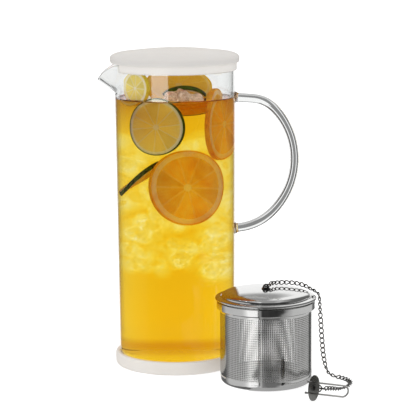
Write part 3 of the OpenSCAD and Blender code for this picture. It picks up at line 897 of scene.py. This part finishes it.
def make_tea():
    rng = random.Random(8)
    n = 128
    prof = [(0, FLOOR_Z - 0.08), (20, FLOOR_Z - 0.08)]
    r1 = glass_r(FLOOR_Z + 6) - 2.4
    prof += arc(r1 - 6, FLOOR_Z + 6, 6.08, 6.08, -90, 0, 12)
    prof += [(glass_r(z) - 2.32, z) for z in np.linspace(18, TEA_Z + 1.0, 24)]
    prof += [(glass_r(TEA_Z) - 2.32 - 0.15, TEA_Z + 1.15)] + [(glass_r(TEA_Z) - 2.32 - d, TEA_Z + 1.15 * math.exp(-d / 1.1)) for d in (0.5, 1.0, 1.6, 2.4, 3.4, 5.0)]
    prof += [(30, TEA_Z), (15, TEA_Z), (0, TEA_Z)]
    verts, faces = [], []
    index = []
    for r, z in prof:
        if r < 1e-6:
            verts.append((0, 0, z))
            index.append([len(verts) - 1] * n)
        else:
            index.append(list(range(len(verts), len(verts) + n)))
            verts += [(r * math.cos(2 * math.pi * k / n), r * math.sin(2 * math.pi * k / n), z) for k in range(n)]
    for a, b in zip(index, index[1:]):
        for k in range(n):
            k2 = (k + 1) % n
            f = [a[k], a[k2], b[k2], b[k]]
            f = [x for j, x in enumerate(f) if x not in f[:j]]
            faces.append(f)
    outer = len(verts)
    # water against air on top, water against glass on the sides and floor
    bends = [1.333 if z > TEA_Z + 1.05 or (z > TEA_Z - 0.01 and math.hypot(x, y) < glass_r(TEA_Z) - 2.4) else 1.333 / 1.5 for x, y, z in verts]
    cores_v, cores_f = [], []
    for p, h in ice_places():
        half = np.array([h * (0.85 + 0.3 * rng.random()) for _ in range(3)])
        rot = turn(rng)
        v, f = ice_shape(half, rot, p, rng, 6)
        base = len(verts)
        verts += [tuple(x) for x in v]
        faces += [[base + i for i in q][::-1] for q in f]
        size = 0.78 + 0.14 * rng.random()
        for shell in (0.9, 0.5):  # haze that thickens towards the middle
            v, f = ice_shape(half * size * shell, rot, p, random.Random(len(cores_v)), 4)
            base = len(cores_v)
            cores_v += [tuple(x) for x in v]
            cores_f += [[base + i for i in q] for q in f]
    me = bpy.data.meshes.new("fill_tea")
    me.from_pydata([tuple(x * MM for x in v) for v in verts], [], faces)
    me.update()
    me.polygons.foreach_set("use_smooth", [True] * len(me.polygons))
    att = me.attributes.new("ice_face", "FLOAT", "POINT")
    att.data.foreach_set("value", np.array([0.0] * outer + [1.0] * (len(verts) - outer), np.float32))
    att = me.attributes.new("bends", "FLOAT", "POINT")
    att.data.foreach_set("value", np.array(bends + [1.0] * (len(verts) - outer), np.float32))
    me.materials.append(TEA)
    ob = bpy.data.objects.new("fill_tea", me)
    scene.collection.objects.link(ob)
    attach(ob, "jug")
    core = add_mesh("fill_ice_cloud", cores_v, cores_f, CLOUD)
    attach(core, "jug")


make_tea()


def floating_ice():
    """Lumps that stand out of the tea; their undersides lie on its surface."""
    m = Mat("clear_ice")
    crack = m.noise(m.coords(), 260.0, 3.0, 0.6)
    normal = m.bump(crack, 0.35, 0.001)
    clear = m.principled({"Base Color": (0.99, 0.99, 0.99, 1), "Roughness": m.span(crack, 0.35, 0.7, 0.02, 0.16), "IOR": 1.31, "Transmission Weight": 1.0, "Normal": normal})
    tone = m.ramp(crack, [(0.3, (0.95, 0.80, 0.60)), (0.7, (1.0, 0.92, 0.80))])
    milk = m.node("ShaderNodeBsdfTranslucent", {"Color": tone, "Normal": normal})
    white = m.principled({"Base Color": tone, "Roughness": 0.2, "Normal": normal})
    milk = m.node("ShaderNodeMixShader", {0: 0.5, 1: milk.outputs[0], 2: white.outputs[0]})
    m.surface(m.node("ShaderNodeMixShader", {0: m.span(crack, 0.35, 0.7, 0.25, 0.85), 1: clear.outputs[0], 2: milk.outputs[0]}))
    rng = random.Random(77)
    verts, faces = [], []
    for x, y, h, tall in ((-1, -27, 5.5, 6.5), (8, -29, 5.0, 7.5), (14, -24, 4.0, 5.0), (4, -18, 5.0, 7.0), (18, -31, 4.5, 4.5), (-10, 30, 6.0, 5.0), (24, 18, 6.0, 5.0)):
        v, f = ice_shape((h, h * 0.9, tall), turn(rng), (x, y, TEA_Z + 1.0), rng)
        v[:, 2] = np.maximum(v[:, 2], TEA_Z + 0.05)
        base = len(verts)
        verts += [tuple(q) for q in v]
        faces += [[base + i for i in q] for q in f]
    ob = add_mesh("fill_ice_floating", verts, faces, m.m, 60)
    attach(ob, "jug")


floating_ice()


# ---------------------------------------------------------------- studio
def make_world():
    w = bpy.data.worlds.new("studio")
    scene.world = w
    w.use_nodes = True
    t = w.node_tree
    t.nodes.clear()

    def node(kind, inputs=None, **props):
        n = t.nodes.new(kind)
        for k, v in props.items():
            setattr(n, k, v)
        for k, v in (inputs or {}).items():
            if isinstance(v, bpy.types.NodeSocket):
                t.links.new(v, n.inputs[k])
            else:
                n.inputs[k].default_value = v
        return n

    def calc(op, a, b=0.0):
        return node("ShaderNodeMath", {0: a, 1: b}, operation=op).outputs[0]

    def step(v, at, soft):
        return node("ShaderNodeMapRange", {"Value": v, "From Min": at - soft, "From Max": at + soft}, interpolation_type="SMOOTHSTEP").outputs["Result"]

    def window(v, lo, hi, soft):
        return calc("MULTIPLY", step(v, lo, soft), calc("SUBTRACT", 1.0, step(v, hi, soft)))

    xyz = node("ShaderNodeSeparateXYZ", {0: node("ShaderNodeTexCoord").outputs["Generated"]})
    deg = 180 / math.pi
    az = calc("MULTIPLY", calc("ARCTAN2", xyz.outputs[0], calc("MULTIPLY", xyz.outputs[1], -1.0)), deg)
    el = calc("MULTIPLY", calc("ARCSINE", xyz.outputs[2]), deg)
    def pick(mask, inside, outside):
        return node("ShaderNodeMix", {0: mask, 2: outside, 3: inside}).outputs[0]

    turned = calc("ABSOLUTE", az)
    # what polished surfaces mirror: a dim room, and white behind with a dim ceiling on its left
    left_part = calc("ADD", calc("SUBTRACT", 1.0, step(az, 0, 1)), step(az, 175, 2))
    behind = pick(calc("MULTIPLY", left_part, window(el, 19, 60, 2)), 0.34, 1.0)
    level = pick(step(turned, 156, 6), behind, 0.14)
    level = pick(window(az, -60, 60, 4), 0.04, level)
    path = node("ShaderNodeLightPath")
    level = pick(step(el, 56, 6), 0.35, level)
    # what shows through clear glass: white, with a dim gap low at the back and darker bars and ceiling that draw its edges
    through = pick(window(turned, 140, 160, 3), 0.12, 1.0)
    through = pick(calc("MULTIPLY", step(turned, 168.5, 1.5), window(el, -30, 3, 2)), 0.26, through)
    through = pick(step(el, 26, 4), 0.2, through)
    through = pick(calc("SUBTRACT", 1.0, step(el, -30, 4)), 0.6, through)
    # matt surfaces are lit by an even dome, a little brighter from the upper left
    level = pick(calc("MULTIPLY", path.outputs["Is Transmission Ray"], calc("LESS_THAN", path.outputs["Glossy Depth"], 0.5)), through, level)
    dome = calc("ADD", 1.23, calc("ADD", calc("MULTIPLY", xyz.outputs[0], -0.10), calc("MULTIPLY", xyz.outputs[2], 0.08)))
    dome = calc("MULTIPLY", dome, pick(calc("GREATER_THAN", path.outputs["Transmission Depth"], 0.5), 1.22, 1.0))
    level = pick(calc("GREATER_THAN", path.outputs["Diffuse Depth"], 0.5), dome, level)
    strength = pick(path.outputs["Is Camera Ray"], 1.0, level)
    bg = node("ShaderNodeBackground", {"Color": (1, 1, 1, 1), "Strength": strength})
    out = node("ShaderNodeOutputWorld")
    t.links.new(bg.outputs[0], out.inputs["Surface"])
    w.cycles.sampling_method = "NONE"


def make_floor():
    me = bpy.data.meshes.new("floor")
    s, n = 9.0, 12
    verts = [(-s + 2 * s * i / n, -s + 2 * s * j / n, -0.0002) for j in range(n + 1) for i in range(n + 1)]
    faces = [(j * (n + 1) + i, j * (n + 1) + i + 1, (j + 1) * (n + 1) + i + 1, (j + 1) * (n + 1) + i) for j in range(n) for i in range(n)]
    me.from_pydata(verts, [], faces)
    m = Mat("pale_floor")
    tone = m.ramp(m.noise(m.coords(), 3.0), [(0.3, (0.50, 0.50, 0.50)), (0.7, (0.52, 0.52, 0.52))])
    me.materials.append(m.surface(m.principled({"Base Color": tone, "Roughness": 0.9, "Specular IOR Level": 0.0, "Emission Color": (1, 1, 1, 1), "Emission Strength": 0.66})))
    ob = bpy.data.objects.new("floor", me)
    scene.collection.objects.link(ob)
    ob.visible_glossy = False
    ob.visible_transmission = False


def lit_card(name, verts, faces, strength, through, shade=None, edge=None):
    """A lit sheet that shows on one side only, and only through glass or in mirrors."""
    me = bpy.data.meshes.new(name)
    me.from_pydata([tuple(v) for v in verts], [], faces)
    m = Mat(name)
    glow = m.span(m.noise(m.coords(), 9.0), 0.3, 0.7, strength * 0.97, strength * 1.03)
    colour = (1, 1, 1, 1)
    if shade:
        share, colour = shade(m)
        glow = m.math("MULTIPLY", glow, share)
    lit = m.node("ShaderNodeEmission", {"Color": colour, "Strength": glow})
    back = m.node("ShaderNodeNewGeometry").outputs["Backfacing"]
    if edge:
        back = m.math("SUBTRACT", 1.0, m.math("MULTIPLY", m.math("SUBTRACT", 1.0, back), edge(m)))
    clear = m.node("ShaderNodeBsdfTransparent")
    me.materials.append(m.surface(m.node("ShaderNodeMixShader", {0: back, 1: lit.outputs[0], 2: clear.outputs[0]})))
    ob = bpy.data.objects.new(name, me)
    scene.collection.objects.link(ob)
    ob.visible_camera = ob.visible_diffuse = ob.visible_shadow = False
    ob.visible_transmission, ob.visible_glossy = through, not through


def flat_card(name, corner, across, up, strength, through=False, soft=None):
    """soft: how far the two ends across fade out, metres."""
    n = 6
    axis = max(range(3), key=lambda k: abs(across[k]))
    ends = (corner[axis], corner[axis] + across[axis])

    def edge(m):
        v = m.node("ShaderNodeSeparateXYZ", {0: m.coords()}).outputs[axis]
        sign = 1 if across[axis] > 0 else -1
        first = m.span(m.math("MULTIPLY", v, sign), sign * ends[0], sign * ends[0] + soft[0], 0.0, 1.0)
        return m.math("MULTIPLY", first, m.span(m.math("MULTIPLY", v, sign), sign * ends[1] - soft[1], sign * ends[1], 1.0, 0.0))
    c, a, u = np.array(corner), np.array(across), np.array(up)
    verts = [c + a * i / n + u * j / n for j in range(n + 1) for i in range(n + 1)]
    faces = [(j * (n + 1) + i, j * (n + 1) + i + 1, (j + 1) * (n + 1) + i + 1, (j + 1) * (n + 1) + i) for j in range(n) for i in range(n)]
    lit_card(name, verts, faces, strength, through, edge=edge if soft else None)


def make_cards():
    # round the tea, seen from inside it: dimmer where the foot covers it, at a slant, and in the infuser's mirror
    n = 96
    rings = [(x * MM, z * MM) for x, z in [(0.5, 2.93), (20, 2.93)] + arc(41.42, 10.0, 7.09, 7.07, -90, 0, 16) + [(48.53, 11.2), (51.4, 11.3), (51.4, 60), (51.4, 120), (51.4, 180), (51.4, 226)]]
    verts = [(r * math.cos(2 * math.pi * k / n), r * math.sin(2 * math.pi * k / n), z) for r, z in rings for k in range(n)]
    faces = [(j * n + k, (j + 1) * n + k, (j + 1) * n + (k + 1) % n, j * n + (k + 1) % n) for j in range(len(rings) - 1) for k in range(n)]

    def shade(m):
        place = m.node("ShaderNodeSeparateXYZ", {0: m.coords()})
        z = place.outputs[2]
        slant = m.span(m.node("ShaderNodeLayerWeight", {"Blend": 0.5}).outputs["Facing"], 0.5, 0.85, 0.0, 0.65)
        slant = m.math("SUBTRACT", 1.0, m.math("MULTIPLY", slant, m.span(z, 0.0125, 0.016, 0.0, 1.0)))
        mirrored = m.math("MULTIPLY", m.node("ShaderNodeLightPath").outputs["Glossy Depth"], m.span(z, 0.035, 0.05, 0.0, 1.0))
        tone = m.ramp(mirrored, [(0.0, (1, 1, 1)), (1.0, (0.42, 0.27, 0.14))])
        shadow = m.math("MULTIPLY", m.span(z, 0.188, 0.219, 0.0, 1.0), m.span(place.outputs[0], -0.022, 0.006, 1.0, 0.22))
        top = m.ramp(shadow, [(0.0, (1, 1, 1)), (1.0, (0.55, 0.40, 0.45))])
        low = m.ramp(m.span(z, 0.009, 0.0135, 0.0, 1.0), [(0.0, (0.78, 0.60, 0.46)), (1.0, (1, 1, 1))])
        return slant, m.mix(1.0, m.mix(1.0, tone, top, "MULTIPLY"), low, "MULTIPLY")
    lit_card("card_round_tea", verts, faces, 1.06, True, shade)
    # behind the jug's top
    flat_card("card_top", (-0.12, 0.06, 0.214), (0.205, 0, 0), (0, 0, 0.056), 1.0, True)
    # close to the front of the glass, for the pale upright reflection under the lid
    ends, low, high = ((-0.0119, -0.0891), (-0.0467, -0.0748)), 0.2216, 0.2445

    def pane(m):
        x = m.node("ShaderNodeSeparateXYZ", {0: m.coords()}).outputs[0]
        first = m.math("LESS_THAN", m.node("ShaderNodeLightPath").outputs["Transmission Depth"], 0.5)
        sides = m.math("MULTIPLY", m.span(x, -0.0467, -0.0447, 0.0, 1.0), m.span(x, -0.0139, -0.0119, 1.0, 0.0))
        return m.math("MULTIPLY", first, sides)
    lit_card("card_pane", [ends[0] + (low,), ends[1] + (low,), ends[1] + (high,), ends[0] + (high,)], [(0, 1, 2, 3)], 6.5, False, edge=pane)
    # beside the infuser, for its steel
    flat_card("card_strip", (0.020, -0.235, -0.03), (0, 0.112, 0), (0, 0, 0.10), 1.12, soft=(0.008, 0.022))
    flat_card("card_left", (0.001, -0.175, -0.03), (0, 0.116, 0), (0, 0, 0.11), 0.60, soft=(0.012, 0.02))
    flat_card("card_right", (0.155, -0.03, -0.03), (0, -0.16, 0), (0, 0, 0.10), 0.6, soft=(0.01, 0.06))
    flat_card("card_table_near", (0.058, -0.14, -0.0003), (0.072, 0, 0), (0, 0.11, 0), 0.45)
    flat_card("card_front", (0.25, -0.2, -0.03), (-0.14, 0, 0), (0, 0, 0.068), 0.3, soft=(0.02, 0.05))
    # the same beside the lifted infuser
    flat_card("card_strip_high", (0.020, -0.235, 0.25), (0, 0.112, 0), (0, 0, 0.16), 1.12, soft=(0.008, 0.022))
    flat_card("card_left_high", (0.001, -0.175, 0.25), (0, 0.116, 0), (0, 0, 0.16), 0.60, soft=(0.012, 0.02))
    flat_card("card_right_high", (0.155, -0.03, 0.25), (0, -0.16, 0), (0, 0, 0.16), 0.6, soft=(0.01, 0.06))
    flat_card("card_front_high", (0.25, -0.24, 0.25), (-0.19, 0, 0), (0, 0, 0.16), 0.3, soft=(0.02, 0.05))
    n, r = 24, 0.0462
    ring = [math.radians(-10.2 + 30.2 * k / n) for k in range(n + 1)]
    verts = [(INF[0] * MM + r * math.sin(q), INF[1] * MM - r * math.cos(q), z) for z in (-0.004, 0.02, 0.04, 0.0565, 0.066) for q in ring]
    faces = [(j * (n + 1) + k, (j + 1) * (n + 1) + k, (j + 1) * (n + 1) + k + 1, j * (n + 1) + k + 1) for j in range(4) for k in range(n)]

    def fade(m):
        co = m.node("ShaderNodeSeparateXYZ", {0: m.coords()})
        x, z = co.outputs[0], co.outputs[2]
        cloud = m.span(m.noise(m.coords((60, 60, 25)), 1.0, 2.0), 0.35, 0.65, 0.6, 1.5)
        plain = m.math("MULTIPLY", m.span(z, 0.024, 0.03, 0.7, 0.85), cloud)
        plain = m.math("MULTIPLY", plain, m.span(z, 0.0505, 0.0575, 1.0, 0.1))
        return m.math("ADD", plain, m.span(x, 0.0648, 0.0678, 0.8, 0.0)), (1, 1, 1, 1)

    def near_edge(m):
        return m.span(m.node("ShaderNodeSeparateXYZ", {0: m.coords()}).outputs[0], 0.083, 0.0888, 1.0, 0.0)
    lit_card("card_near_wall", verts, faces, 0.42, False, fade, near_edge)
    flat_card("card_table_far", (0.03, -0.23, -0.0003), (0.095, 0, 0), (0, 0.09, 0), 0.3)


make_world()
make_floor()
make_cards()
scene.view_settings.view_transform = "Standard"
scene.cycles.max_bounces = 40
scene.cycles.transmission_bounces = 40
scene.cycles.transparent_max_bounces = 40
scene.cycles.glossy_bounces = 10
scene.cycles.diffuse_bounces = 6
scene.cycles.blur_glossy = 0.0
